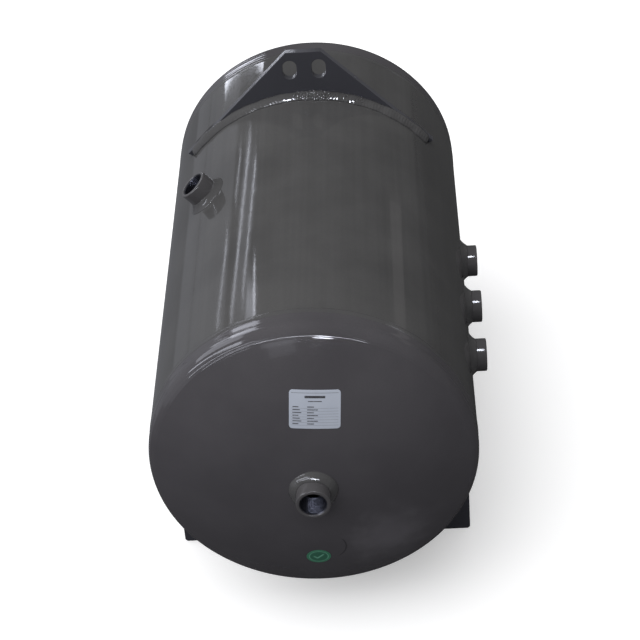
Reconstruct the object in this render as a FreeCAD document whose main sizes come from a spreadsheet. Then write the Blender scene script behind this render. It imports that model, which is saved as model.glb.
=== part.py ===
import FreeCAD, Part
import os

import Sketcher
from FreeCAD import Vector

# Horizontal pressure tank standing on two saddle plates. Millimetres, +Z up, the tank's axis
# along Y. The origin is on the floor under the middle of the tank, and -Y is the labelled end.

SIZES = {
    # vessel
    "shell_radius": 200,
    "shell_length": 620,
    "wall": 4,
    "flange_length": 20,
    "crown_radius": 371,
    "knuckle_radius": 21,
    "axis_height": 256,
    # weld beads on the butt joints
    "bead_width": 9,
    "bead_height": 1.6,
    "seam_angle": 108,
    # pipe sockets
    "socket_radius": 21,
    "bore_radius": 15.15,
    "socket_chamfer": 1.5,
    "socket_inset": 3,
    "socket_hole_gap": 0.2,
    "head_socket_projection": 24.5,
    "left_socket_projection": 25.5,
    "right_socket_projection": 20,
    "left_socket_station": 28,
    "left_socket_angle": 41.9,
    "right_socket_station": -45,
    "right_socket_pitch": 105.7,
    "socket_weld_leg": 8.5,
    "socket_weld_rise": 8,
    "socket_weld_root": 4,
    # plates welded across the shell
    "plate_thickness": 10,
    "plate_gap": 0.3,
    "plate_weld_width": 7,
    "plate_weld_height": 4,
    "plate_weld_setback": 1.2,
    # slotted bracket on top
    "bracket_station": 190,
    "bracket_top": 267,
    "bracket_top_half": 24,
    "bracket_tip_height": 7,
    "bracket_tip_angle": 55,
    "slot_spacing": 39.4,
    "slot_width": 19,
    "slot_length": 28,
    "slot_height": 241,
    # saddles
    "saddle_spacing": 380,
    "saddle_half_width": 191,
    "saddle_contact_angle": 60,
    "saddle_corner": 3,
    # label and sticker on the front head
    "label_width": 60,
    "label_height": 46,
    "label_corner": 4,
    "label_side": 9,
    "label_up": 110,
    "sticker_radius": 15,
    "sticker_side": -2,
    "sticker_down": 124,
    "film_thickness": 0.4,
    "film_reach": 80,
}

TANGENT = "(Sizes.shell_length / 2 + Sizes.flange_length)"
CROWN_CENTRE = (
    f"({TANGENT} - sqrt((Sizes.crown_radius - Sizes.knuckle_radius)^2"
    " - (Sizes.shell_radius - Sizes.knuckle_radius)^2))"
)
APEX = f"({CROWN_CENTRE} + Sizes.crown_radius)"
AXIS_X, AXIS_Y, AXIS_Z = (1, 0, 0), (0, 1, 0), (0, 0, 1)
FULL_TURN = "360"

doc = FreeCAD.newDocument("PressureTank")
sheet = doc.addObject("Spreadsheet::Sheet", "Sizes")
for row, (alias, size) in enumerate(SIZES.items(), start=1):
    sheet.set(f"A{row}", alias.replace("_", " "))
    sheet.set(f"B{row}", str(size))
    sheet.setAlias(f"B{row}", alias)
doc.recompute()


# ---- helpers ----


def value(formula):
    """The number that a formula of sheet sizes gives."""
    result = sheet.evalExpression(formula)
    return float(getattr(result, "Value", result))


def bind(item, **formulas):
    """Ties properties of an object to formulas of sheet sizes."""
    for name, formula in formulas.items():
        item.setExpression(name, formula)


def place(item, side="0", along="0", up="0", axis=AXIS_Z, angle="0"):
    """Moves an object to a point given from the middle of the tank's axis, and turns it."""
    spot = f"create(<<vector>>; {side}; {along}; Sizes.axis_height + {up})"
    pole = f"create(<<vector>>; {axis[0]}; {axis[1]}; {axis[2]})"
    turn = f"create(<<rotation>>; {pole}; {angle})"
    bind(item, Placement=f"create(<<placement>>; {spot}; {turn})")


def new_body(label):
    body = doc.addObject("PartDesign::Body", label)
    body.Label = label
    return body


def new_sketch(body, plane):
    """A sketch on one of the body's own origin planes."""
    support = next(item for item in body.Origin.OriginFeatures if item.Role == plane)
    sketch = body.newObject("Sketcher::SketchObject", body.Name + "_sketch")
    sketch.AttachmentSupport = [(support, "")]
    sketch.MapMode = "FlatFace"
    return sketch


def measure(sketch, kind, formula, *geometry):
    """A sketch constraint whose size follows a formula."""
    number = sketch.addConstraint(Sketcher.Constraint(kind, *geometry, value(formula)))
    sketch.setExpression(f"Constraints[{number}]", formula)


def pin(sketch, line, end, across, up):
    """Fixes one end of a line at a pair of formulas."""
    for kind, zero_axis, formula in (("DistanceX", -2, across), ("DistanceY", -1, up)):
        if formula == "0":
            sketch.addConstraint(Sketcher.Constraint("PointOnObject", line, end, zero_axis))
        else:
            measure(sketch, kind, formula, -1, 1, line, end)


def outline(sketch, corners):
    """A closed outline of straight lines through corners given as formulas."""
    points = [Vector(value(across), value(up), 0) for across, up in corners]
    count = len(points)
    for i in range(count):
        sketch.addGeometry(Part.LineSegment(points[i], points[(i + 1) % count]))
    for i, (across, up) in enumerate(corners):
        sketch.addConstraint(Sketcher.Constraint("Coincident", i, 2, (i + 1) % count, 1))
        pin(sketch, i, 1, across, up)


def add_feature(body, kind, sketch, **formulas):
    """A solid feature made from a sketch and bound to formulas."""
    feature = body.newObject(f"PartDesign::{kind}", f"{body.Name}_{kind.lower()}")
    feature.Profile = sketch
    bind(feature, **formulas)
    return feature


def revolve(body, sketch, axis, angle=FULL_TURN):
    """Turns a sketch about its own axis; a part turn goes half each way."""
    feature = add_feature(body, "Revolution", sketch, Angle=angle)
    feature.ReferenceAxis = (sketch, [axis])
    feature.Midplane = angle != FULL_TURN


def thicken(body, sketch, length):
    """Pads a sketch by half the length each way."""
    add_feature(body, "Pad", sketch, Length=length).Midplane = True


def cut_through(body, sketch, thickness):
    """Pockets a sketch right through a plate that lies on its plane."""
    add_feature(body, "Pocket", sketch, Length=f"2 * {thickness}").Midplane = True


def boolean(kind, label, base, tool):
    result = doc.addObject(f"Part::{kind}", label)
    result.Label = label
    result.Base = base
    result.Tool = tool
    return result


# ---- the vessel: rolled shell, two dished heads, and their weld beads ----


def drill(name):
    """A rod on a socket's line, as wide as the hole that the socket sits in."""
    along, axis, angle = SOCKETS[name][:3]
    rod = doc.addObject("Part::Cylinder", f"{name}_drill")
    bind(rod, Radius="Sizes.socket_radius + Sizes.socket_hole_gap", Height=f"2 * {APEX}")
    place(rod, along=along, axis=axis, angle=angle)
    return rod


def shell():
    """The rolled cylinder, drilled for the sockets in its side."""
    tube = new_body("shell_tube")
    sketch = new_sketch(tube, "YZ_Plane")
    end, inside = "Sizes.shell_length / 2", "Sizes.shell_radius - Sizes.wall"
    outline(
        sketch,
        [
            (f"-{end}", inside),
            (end, inside),
            (end, "Sizes.shell_radius"),
            (f"-{end}", "Sizes.shell_radius"),
        ],
    )
    revolve(tube, sketch, "H_Axis")
    place(tube)
    drills = doc.addObject("Part::MultiFuse", "shell_drills")
    drills.Shapes = [drill(name) for name in SOCKETS if name not in HEAD_SOCKETS]
    boolean("Cut", "shell", tube, drills)


def head_section(sketch):
    """Half the section of a dished head: straight flange, knuckle and crown, an even wall."""
    radius, wall = value("Sizes.shell_radius"), value("Sizes.wall")
    crown, knuckle = value("Sizes.crown_radius"), value("Sizes.knuckle_radius")
    seam, tangent = value("Sizes.shell_length / 2"), value(TANGENT)
    ball, ring = Vector(value(CROWN_CENTRE), 0, 0), Vector(tangent, radius - knuckle, 0)
    tilt = Vector(1, 0, 0).getAngle(ring - ball)
    square = Vector(0, 1, 0).getAngle(Vector(1, 0, 0))

    def line(*ends):
        sketch.addGeometry(Part.LineSegment(Vector(*ends[0], 0), Vector(*ends[1], 0)))

    def arc(centre, size, start, stop):
        circle = Part.Circle(centre, Vector(0, 0, 1), size)
        sketch.addGeometry(Part.ArcOfCircle(circle, start, stop))

    def rule(kind, *items):
        sketch.addConstraint(Sketcher.Constraint(kind, *items))

    start, end, middle, across = 1, 2, 3, -1
    flange, bend, dome, tip, inner_dome, inner_bend, inner_flange, edge = range(8)
    line((seam, radius), (tangent, radius))
    arc(ring, knuckle, tilt, square)
    arc(ball, crown, 0, tilt)
    line((ball.x + crown, 0), (ball.x + crown - wall, 0))
    arc(ball, crown - wall, 0, tilt)
    arc(ring, knuckle - wall, tilt, square)
    line((tangent, radius - wall), (seam, radius - wall))
    line((seam, radius - wall), (seam, radius))

    inside = "Sizes.shell_radius - Sizes.wall"
    pin(sketch, flange, start, "Sizes.shell_length / 2", "Sizes.shell_radius")
    pin(sketch, flange, end, TANGENT, "Sizes.shell_radius")
    pin(sketch, inner_flange, start, TANGENT, inside)
    pin(sketch, inner_flange, end, "Sizes.shell_length / 2", inside)
    rule("Coincident", edge, start, inner_flange, end)
    rule("Coincident", edge, end, flange, start)
    rule("Coincident", bend, end, flange, end)
    rule("Vertical", bend, middle, flange, end)
    measure(sketch, "Radius", "Sizes.knuckle_radius", bend)
    rule("PointOnObject", dome, middle, across)
    rule("PointOnObject", dome, start, across)
    measure(sketch, "Radius", "Sizes.crown_radius", dome)
    rule("Tangent", bend, start, dome, end)
    rule("Coincident", inner_bend, middle, bend, middle)
    rule("Coincident", inner_bend, end, inner_flange, start)
    rule("Coincident", inner_dome, middle, dome, middle)
    rule("PointOnObject", inner_dome, start, across)
    rule("Tangent", inner_bend, start, inner_dome, end)
    rule("Coincident", tip, start, dome, start)
    rule("Coincident", tip, end, inner_dome, start)


def head(end, turn):
    """A pressed dished head with the hole for the socket at its middle."""
    pressing = new_body(f"{end}_head_pressing")
    sketch = new_sketch(pressing, "YZ_Plane")
    head_section(sketch)
    revolve(pressing, sketch, "H_Axis")
    place(pressing, angle=turn)
    boolean("Cut", f"{end}_head", pressing, drill(f"{end}_socket"))


def girth_weld(end, turn):
    """The weld bead round the joint between the shell and a head."""
    bead = new_body(f"{end}_girth_weld")
    sketch = new_sketch(bead, "YZ_Plane")
    crest = "Sizes.shell_radius + Sizes.bead_height"
    outline(
        sketch,
        [
            ("Sizes.shell_length / 2 - Sizes.bead_width / 2", "Sizes.shell_radius"),
            ("Sizes.shell_length / 2 - Sizes.bead_width / 4", crest),
            ("Sizes.shell_length / 2 + Sizes.bead_width / 4", crest),
            ("Sizes.shell_length / 2 + Sizes.bead_width / 2", "Sizes.shell_radius"),
        ],
    )
    revolve(bead, sketch, "H_Axis")
    place(bead, angle=turn)


def shell_seam_weld():
    """The straight bead where the rolled plate meets itself, low on one side of the shell."""
    bead = new_body("shell_seam_weld")
    sketch = new_sketch(bead, "XZ_Plane")
    crest = "Sizes.shell_radius + Sizes.bead_height"
    outline(
        sketch,
        [
            ("-Sizes.bead_width / 2", "Sizes.shell_radius"),
            ("-Sizes.bead_width / 4", crest),
            ("Sizes.bead_width / 4", crest),
            ("Sizes.bead_width / 2", "Sizes.shell_radius"),
        ],
    )
    thicken(bead, sketch, "Sizes.shell_length - Sizes.bead_width")
    place(bead, axis=AXIS_Y, angle="-Sizes.seam_angle")


# ---- pipe sockets ----

# Each socket's place along the tank, the turn that points its mouth outwards, the distance
# from the tank's axis or middle to the surface it stands on, and how far its mouth stands out.
HEAD_SOCKETS = ("front_socket", "rear_socket")
SOCKETS = {
    "front_socket": ("0", AXIS_X, "90", APEX, "Sizes.head_socket_projection"),
    "rear_socket": ("0", AXIS_X, "-90", APEX, "Sizes.head_socket_projection"),
    "left_socket": (
        "Sizes.left_socket_station",
        AXIS_Y,
        "-Sizes.left_socket_angle",
        "Sizes.shell_radius",
        "Sizes.left_socket_projection",
    ),
}
for spot, steps in (("front", "-1"), ("middle", "0"), ("rear", "1")):
    SOCKETS[f"right_socket_{spot}"] = (
        f"Sizes.right_socket_station + {steps} * Sizes.right_socket_pitch",
        AXIS_Y,
        "90",
        "Sizes.shell_radius",
        "Sizes.right_socket_projection",
    )


def socket(name):
    """A turned steel pipe socket, bored to the core of its thread, its mouth chamfered."""
    along, axis, angle, surface, projection = SOCKETS[name]
    bore, outside, chamfer = "Sizes.bore_radius", "Sizes.socket_radius", "Sizes.socket_chamfer"
    inner_end = f"{surface} - Sizes.wall - Sizes.socket_inset"
    mouth = f"{surface} + {projection}"
    body = new_body(name)
    sketch = new_sketch(body, "XZ_Plane")
    outline(
        sketch,
        [
            (bore, inner_end),
            (outside, inner_end),
            (outside, f"{mouth} - {chamfer}"),
            (f"{outside} - {chamfer}", mouth),
            (f"{bore} + {chamfer}", mouth),
            (bore, f"{mouth} - {chamfer}"),
        ],
    )
    revolve(body, sketch, "V_Axis")
    place(body, along=along, axis=axis, angle=angle)


def socket_weld(name, wall_solid):
    """The fillet weld round a socket, its foot trimmed to the curved wall under it."""
    along, axis, angle, surface, _ = SOCKETS[name]
    root = f"{surface} - Sizes.socket_weld_root"
    spread = "Sizes.socket_weld_leg * (1 + Sizes.socket_weld_root / Sizes.socket_weld_rise)"
    blank = new_body(f"{name}_weld_blank")
    sketch = new_sketch(blank, "XZ_Plane")
    outline(
        sketch,
        [
            ("Sizes.socket_radius", root),
            (f"Sizes.socket_radius + {spread}", root),
            ("Sizes.socket_radius", f"{surface} + Sizes.socket_weld_rise"),
        ],
    )
    revolve(blank, sketch, "V_Axis")
    place(blank, along=along, axis=axis, angle=angle)
    boolean("Cut", f"{name}_weld", blank, wall_solid)


def solid_drum():
    """The shell's outside as a solid, which trims the welds that stand on it."""
    drum = doc.addObject("Part::Cylinder", "solid_drum")
    bind(drum, Radius="Sizes.shell_radius", Height="Sizes.shell_length")
    place(drum, along="Sizes.shell_length / 2", axis=AXIS_X, angle="90")
    return drum


def crown_ball(name, side, thickness="0"):
    """The ball that a head's crown is part of, with an allowance for a film on it."""
    ball = doc.addObject("Part::Sphere", name)
    bind(ball, Radius=f"Sizes.crown_radius + {thickness}")
    place(ball, along=f"{side} * {CROWN_CENTRE}")
    return ball


# ---- plates welded across the shell ----


def trim_to_shell(body):
    """Cuts the shell's round, with the fitter's gap, out of a plate that stands across it."""
    sketch = new_sketch(body, "XZ_Plane")
    radius = "Sizes.shell_radius + Sizes.plate_gap"
    sketch.addGeometry(Part.Circle(Vector(0, 0, 0), Vector(0, 0, 1), value(radius)))
    sketch.addConstraint(Sketcher.Constraint("Coincident", 0, 3, -1, 1))
    measure(sketch, "Radius", radius, 0)
    cut_through(body, sketch, "Sizes.plate_thickness")


def slot(sketch, side):
    """An upright slot with round ends, half a slot spacing to one side of the middle."""
    first = sketch.GeometryCount
    centre = f"{side} * Sizes.slot_spacing / 2"
    left, right = f"{centre} - Sizes.slot_width / 2", f"{centre} + Sizes.slot_width / 2"
    reach = "(Sizes.slot_length - Sizes.slot_width) / 2"
    low, high = f"Sizes.slot_height - {reach}", f"Sizes.slot_height + {reach}"
    half_turn = Vector(1, 0, 0).getAngle(Vector(-1, 0, 0))
    for across in (left, right):
        ends = [Vector(value(across), value(up), 0) for up in (low, high)]
        sketch.addGeometry(Part.LineSegment(*ends))
    for up, start in ((high, 0), (low, half_turn)):
        middle = Vector(value(centre), value(up), 0)
        circle = Part.Circle(middle, Vector(0, 0, 1), value("Sizes.slot_width / 2"))
        sketch.addGeometry(Part.ArcOfCircle(circle, start, start + half_turn))
    for line, across in ((first, left), (first + 1, right)):
        pin(sketch, line, 1, across, low)
        pin(sketch, line, 2, across, high)
    top, bottom = first + 2, first + 3
    sketch.addConstraint(Sketcher.Constraint("Tangent", top, 1, first + 1, 2))
    sketch.addConstraint(Sketcher.Constraint("Coincident", top, 2, first, 2))
    sketch.addConstraint(Sketcher.Constraint("Tangent", bottom, 1, first, 1))
    sketch.addConstraint(Sketcher.Constraint("Coincident", bottom, 2, first + 1, 1))


def top_bracket():
    """The flame-cut plate with two upright slots that stands across the top of the shell."""
    body = new_body("top_bracket")
    sketch = new_sketch(body, "XZ_Plane")
    tip = "(Sizes.shell_radius + Sizes.bracket_tip_height)"
    heel = "(Sizes.shell_radius - Sizes.bracket_tip_height)"
    across, up = "sin(Sizes.bracket_tip_angle)", "cos(Sizes.bracket_tip_angle)"
    outline(
        sketch,
        [
            ("-Sizes.bracket_top_half", "Sizes.bracket_top"),
            (f"-{tip} * {across}", f"{tip} * {up}"),
            (f"-{heel} * {across}", f"{heel} * {up}"),
            (f"{heel} * {across}", f"{heel} * {up}"),
            (f"{tip} * {across}", f"{tip} * {up}"),
            ("Sizes.bracket_top_half", "Sizes.bracket_top"),
        ],
    )
    thicken(body, sketch, "Sizes.plate_thickness")
    trim_to_shell(body)
    slots = new_sketch(body, "XZ_Plane")
    slot(slots, "-1")
    slot(slots, "1")
    cut_through(body, slots, "Sizes.plate_thickness")
    place(body, along="Sizes.bracket_station")


def saddle(end, station):
    """A saddle plate on edge, hollowed to cradle the shell's underside."""
    body = new_body(f"{end}_saddle")
    sketch = new_sketch(body, "XZ_Plane")
    half, corner = "Sizes.saddle_half_width", "Sizes.saddle_corner"
    horn = "-Sizes.shell_radius * cos(Sizes.saddle_contact_angle)"
    outline(
        sketch,
        [
            (f"-{half}", horn),
            (f"-{half}", f"-Sizes.axis_height + {corner}"),
            (f"-{half} + {corner}", "-Sizes.axis_height"),
            (f"{half} - {corner}", "-Sizes.axis_height"),
            (half, f"-Sizes.axis_height + {corner}"),
            (half, horn),
        ],
    )
    thicken(body, sketch, "Sizes.plate_thickness")
    trim_to_shell(body)
    place(body, along=station)


def plate_weld(name, station, half_angle, axis, turn):
    """A fillet weld along one face of a plate, where it meets the shell."""
    bead = new_body(name)
    sketch = new_sketch(bead, "YZ_Plane")
    outline(
        sketch,
        [
            ("-Sizes.plate_thickness / 2", "Sizes.shell_radius"),
            ("-Sizes.plate_thickness / 2", "Sizes.shell_radius + Sizes.plate_weld_height"),
            ("-Sizes.plate_thickness / 2 - Sizes.plate_weld_width", "Sizes.shell_radius"),
        ],
    )
    revolve(bead, sketch, "H_Axis", angle=f"2 * ({half_angle} - Sizes.plate_weld_setback)")
    place(bead, along=station, axis=axis, angle=turn)


# ---- label and sticker ----


def film(name):
    """The thin skin on the front head's crown that a label or sticker is cut from."""
    outside = crown_ball(f"{name}_face", "-1", "Sizes.film_thickness")
    return boolean("Cut", f"{name}_film", outside, crown_ball(f"{name}_back", "-1"))


def rating_label():
    """A blank paper rating label with round corners, stuck on above the socket."""
    stamp = new_body("rating_label_stamp")
    sketch = new_sketch(stamp, "XZ_Plane")
    left, right = "-Sizes.label_width / 2", "Sizes.label_width / 2"
    low, high = "-Sizes.label_height / 2", "Sizes.label_height / 2"
    outline(sketch, [(left, low), (right, low), (right, high), (left, high)])
    thicken(stamp, sketch, "Sizes.film_reach")
    doc.recompute()
    block = stamp.Tip
    upright = [
        f"Edge{i}"
        for i, edge in enumerate(block.Shape.Edges, start=1)
        if abs(edge.tangentAt(edge.FirstParameter).y) > 0.5
    ]
    corners = stamp.newObject("PartDesign::Fillet", "rating_label_corners")
    corners.Base = (block, upright)
    bind(corners, Radius="Sizes.label_corner")
    place(stamp, side="Sizes.label_side", along=f"-{APEX}", up="Sizes.label_up")
    boolean("Common", "rating_label", film("rating_label"), stamp)


def inspection_sticker():
    """A small round inspection sticker under the socket."""
    stamp = doc.addObject("Part::Cylinder", "sticker_stamp")
    bind(stamp, Radius="Sizes.sticker_radius", Height="Sizes.film_reach")
    place(
        stamp,
        side="Sizes.sticker_side",
        along=f"-{APEX} + Sizes.film_reach / 2",
        up="-Sizes.sticker_down",
        axis=AXIS_X,
        angle="90",
    )
    boolean("Common", "inspection_sticker", film("inspection_sticker"), stamp)


# ---- assembly ----

shell()
shell_seam_weld()
for end, turn in (("front", "180"), ("rear", "0")):
    head(end, turn)
    girth_weld(end, turn)

drum = solid_drum()
wall_solids = {
    "front_socket": crown_ball("front_crown", "-1"),
    "rear_socket": crown_ball("rear_crown", "1"),
}
for name in SOCKETS:
    socket(name)
    socket_weld(name, wall_solids.get(name, drum))

top_bracket()
bracket_reach = "Sizes.bracket_tip_angle"
plate_weld("bracket_front_weld", "Sizes.bracket_station", bracket_reach, AXIS_Z, "0")
plate_weld("bracket_rear_weld", "Sizes.bracket_station", bracket_reach, AXIS_Z, "180")

saddle_reach = "Sizes.saddle_contact_angle"
for end, sign in (("front", "-1"), ("rear", "1")):
    station = f"{sign} * Sizes.saddle_spacing / 2"
    saddle(end, station)
    plate_weld(f"{end}_saddle_front_weld", station, saddle_reach, AXIS_Y, "180")
    plate_weld(f"{end}_saddle_rear_weld", station, saddle_reach, AXIS_X, "180")

rating_label()
inspection_sticker()

NODES = [
    "shell",
    "shell_seam_weld",
    "front_head",
    "rear_head",
    "front_girth_weld",
    "rear_girth_weld",
    *SOCKETS,
    *(f"{name}_weld" for name in SOCKETS),
    "top_bracket",
    "bracket_front_weld",
    "bracket_rear_weld",
    *(f"{end}_saddle{part}" for end in ("front", "rear") for part in ("", "_front_weld", "_rear_weld")),
    "rating_label",
    "inspection_sticker",
]

doc.recompute()
failed = [item.Name for item in doc.Objects if {"Invalid", "Error"} & set(item.State)]
if failed:
    raise RuntimeError(f"objects that failed to build: {failed}")
for node in NODES:
    shape = doc.getObjectsByLabel(node)[0].Shape
    if shape.isNull() or not shape.isValid():
        raise RuntimeError(f"no valid solid for {node}")

os.makedirs("parts", exist_ok=True)
for node in NODES:
    doc.getObjectsByLabel(node)[0].Shape.exportStep(f"parts/{node}.step")
print(f"{len(NODES)} parts written")
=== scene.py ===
from math import asin, ceil, cos, hypot, pi, radians, sin, sqrt, tan

import bmesh
import bpy
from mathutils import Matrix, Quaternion, Vector


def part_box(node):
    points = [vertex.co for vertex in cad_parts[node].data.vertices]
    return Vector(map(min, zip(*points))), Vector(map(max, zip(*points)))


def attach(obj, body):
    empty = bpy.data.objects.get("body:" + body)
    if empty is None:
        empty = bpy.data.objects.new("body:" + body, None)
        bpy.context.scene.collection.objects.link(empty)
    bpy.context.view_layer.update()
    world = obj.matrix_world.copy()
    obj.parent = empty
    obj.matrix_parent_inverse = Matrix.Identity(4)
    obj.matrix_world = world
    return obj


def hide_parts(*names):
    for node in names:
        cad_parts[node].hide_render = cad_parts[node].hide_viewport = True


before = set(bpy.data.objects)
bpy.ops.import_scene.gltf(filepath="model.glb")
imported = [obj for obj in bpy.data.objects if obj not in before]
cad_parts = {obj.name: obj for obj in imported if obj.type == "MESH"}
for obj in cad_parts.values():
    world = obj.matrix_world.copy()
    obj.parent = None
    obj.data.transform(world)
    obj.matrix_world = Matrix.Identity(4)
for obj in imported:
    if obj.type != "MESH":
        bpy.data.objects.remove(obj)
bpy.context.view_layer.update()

# ---- shell ----
# The drum of the tank: 4 mm steel plate rolled into a tube, its edges butt welded low on the
# left. It is drilled for four pipe sockets and sprayed with a dark grey gloss enamel, under
# which the long shallow waves that the rolls left in the plate still show.

shell_low, shell_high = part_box("shell")
axis_height = (shell_low.z + shell_high.z) / 2
shell_radius = (shell_high.x - shell_low.x) / 2
half_shell = (shell_high.y - shell_low.y) / 2
plate_wall = 0.004
socket_hole = 0.0212
rightward, ahead, up = Vector((1, 0, 0)), Vector((0, 1, 0)), Vector((0, 0, 1))


def put(tree, kind, inputs=None, **settings):
    """Adds a node, makes its settings, and joins or sets its inputs by name or number."""
    node = tree.nodes.new(kind)
    for key, setting in settings.items():
        setattr(node, key, setting)
    for key, given in (inputs or {}).items():
        if isinstance(given, bpy.types.NodeSocket):
            tree.links.new(given, node.inputs[key])
        else:
            node.inputs[key].default_value = given
    return node


def sums(tree, operation, *terms):
    """One step of arithmetic on numbers or sockets."""
    return put(tree, "ShaderNodeMath", dict(enumerate(terms)), operation=operation).outputs[0]


def times(tree, first, *others):
    """Numbers or sockets multiplied together."""
    for other in others:
        first = sums(tree, "MULTIPLY", first, other)
    return first


def minus(tree, first, second):
    """One number or socket less another."""
    return sums(tree, "SUBTRACT", first, second)


def vectors(tree, operation, first, second=(0.0, 0.0, 0.0)):
    """One step of arithmetic on vectors; lengths, distances and products come out as numbers."""
    node = put(tree, "ShaderNodeVectorMath", {0: first, 1: second}, operation=operation)
    number = operation in ("LENGTH", "DISTANCE", "DOT_PRODUCT")
    return node.outputs["Value" if number else "Vector"]


def scaled(tree, vector, size):
    """A vector or a colour multiplied by a number."""
    return put(tree, "ShaderNodeVectorMath", {0: vector, "Scale": size}, operation="SCALE").outputs[0]


def split(tree, vector):
    """The three numbers of a vector."""
    return put(tree, "ShaderNodeSeparateXYZ", {0: vector}).outputs


def join(tree, x, y, z=0.0):
    """A vector made from its numbers."""
    return put(tree, "ShaderNodeCombineXYZ", {0: x, 1: y, 2: z}).outputs[0]


def surface_place(tree):
    """Where a point of a surface is, in metres in the tank's own frame."""
    return put(tree, "ShaderNodeTexCoord").outputs["Object"]


def ramp(tree, given, low, high, bottom=0.0, top=1.0):
    """Carries a value from low..high to bottom..top, eased and held at both ends."""
    limits = {"Value": given, 1: low, 2: high, 3: bottom, 4: top}
    return put(tree, "ShaderNodeMapRange", limits, interpolation_type="SMOOTHSTEP").outputs[0]


def noise(tree, place, scale, detail=1.0, stretch=None):
    """Smooth noise from 0 to 1, its grain stretched if asked."""
    if stretch:
        place = put(tree, "ShaderNodeMapping", {"Vector": place, "Scale": stretch}).outputs[0]
    grain = {"Vector": place, "Scale": scale, "Detail": detail}
    return put(tree, "ShaderNodeTexNoise", grain).outputs[0]


def seeded_noise(tree, place, scale, seed):
    """Smooth noise from 0 to 1 that a seed sets apart from the next piece's."""
    grain = {"Vector": place, "W": seed, "Scale": scale, "Detail": 1.0}
    return put(tree, "ShaderNodeTexNoise", grain, noise_dimensions="4D").outputs[0]


def start_tree(name, **sizes):
    """A geometry tree that takes a mesh, its named sizes and the finish it ends in."""
    kinds = {float: "NodeSocketFloat", int: "NodeSocketInt", tuple: "NodeSocketVector"}
    tree = bpy.data.node_groups.new(name, "GeometryNodeTree")
    face = tree.interface
    face.new_socket("Geometry", in_out="INPUT", socket_type="NodeSocketGeometry")
    for size, usual in sizes.items():
        label = size.replace("_", " ")
        slot = face.new_socket(label, in_out="INPUT", socket_type=kinds[type(usual)])
        slot.default_value = usual
    face.new_socket("Finish", in_out="INPUT", socket_type="NodeSocketMaterial")
    face.new_socket("Geometry", in_out="OUTPUT", socket_type="NodeSocketGeometry")
    return tree, tree.nodes.new("NodeGroupInput").outputs


def end_tree(tree, given, shape):
    """Closes a geometry tree: smooth shading, real geometry, and the finish on every face."""
    smooth = put(tree, "GeometryNodeSetShadeSmooth", {"Geometry": shape}).outputs[0]
    real = put(tree, "GeometryNodeRealizeInstances", {"Geometry": smooth}).outputs[0]
    finish = {"Geometry": real, "Material": given["Finish"]}
    done = put(tree, "GeometryNodeSetMaterial", finish).outputs[0]
    tree.links.new(done, tree.nodes.new("NodeGroupOutput").inputs[0])
    return tree


def end_moved(tree, given, shape, way, lift):
    """Closes a geometry tree once its points have moved so far along a way."""
    moved = {"Geometry": shape, "Offset": scaled(tree, way, lift)}
    return end_tree(tree, given, put(tree, "GeometryNodeSetPosition", moved).outputs[0])


def stand(name, data):
    """Puts a mesh, curve, lamp or camera into the scene as an object of its own."""
    thing = bpy.data.objects.new(name, data)
    bpy.context.scene.collection.objects.link(thing)
    return thing


def settled(thing):
    """The mesh that an object comes to once its modifiers have run."""
    bpy.context.view_layer.update()
    graph = bpy.context.evaluated_depsgraph_get()
    return bpy.data.meshes.new_from_object(thing.evaluated_get(graph), depsgraph=graph)


def build(name, mesh, finish, *steps):
    """Runs geometry trees over a mesh in turn and keeps the result as one plain mesh."""
    blank = stand(name + "_blank", mesh)
    for tree, sizes in steps:
        step = blank.modifiers.new(tree.name, "NODES")
        step.node_group = tree
        values = {**sizes, "Finish": finish}
        for item in tree.interface.items_tree:
            if item.in_out == "INPUT" and item.name in values:
                step[item.identifier] = values[item.name]
    result = settled(blank)
    bpy.data.objects.remove(blank)
    result.name = name
    return stand(name, result)


def fit(piece, node):
    """Puts a finished piece in place of its plain solid."""
    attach(piece, "root")
    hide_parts(node)


def spun_tree():
    """Spins a closed outline about Z; the outline is drawn by spin_outline."""
    tree, given = start_tree("Spun section", Points_around=96)
    outline = put(tree, "GeometryNodeMeshToCurve", {"Mesh": given["Geometry"]}).outputs[0]
    circle = {"Resolution": given["Points around"], "Radius": 1.0}
    ring = put(tree, "GeometryNodeCurvePrimitiveCircle", circle).outputs[0]
    swept = put(tree, "GeometryNodeCurveToMesh", {"Curve": ring, "Profile Curve": outline})
    return end_tree(tree, given, swept.outputs[0])


def uneven_tree():
    """Moves a surface a little in and out, as rolling and pressing leave it."""
    usual = {"Depth": 0.0, "Wave_size": (0.05, 0.05, 0.05), "Seed": 1.0}
    tree, given = start_tree("Uneven surface", **usual)
    place = put(tree, "GeometryNodeInputPosition").outputs[0]
    normal = put(tree, "GeometryNodeInputNormal").outputs[0]
    place = vectors(tree, "DIVIDE", place, given["Wave size"])
    wave = seeded_noise(tree, place, 1.0, given["Seed"])
    lift = times(tree, minus(tree, wave, 0.5), given["Depth"])
    return end_moved(tree, given, given["Geometry"], normal, lift)


def place_tree():
    """Turns a piece made round its own axis and carries it to its place on the tank."""
    tree, given = start_tree("Set in place", Place=(0.0, 0.0, 0.0), Turn=(0.0, 0.0, 0.0))
    pose = {"Geometry": given["Geometry"], "Translation": given["Place"], "Rotation": given["Turn"]}
    return end_tree(tree, given, put(tree, "GeometryNodeTransform", pose).outputs[0])


spun, uneven, placed = spun_tree(), uneven_tree(), place_tree()


def spin_outline(points):
    """A closed outline of (distance from the axis, distance along it), for the spun section."""
    pairs = list(zip(points, points[1:] + points[:1]))
    if sum(a[0] * b[1] - b[0] * a[1] for a, b in pairs) > 0:
        points = points[::-1]
    mesh = bpy.data.meshes.new("outline")
    edges = [(i, (i + 1) % len(points)) for i in range(len(points))]
    mesh.from_pydata([(out - 1, -along, 0) for out, along in points], edges, [])
    return mesh


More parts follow.
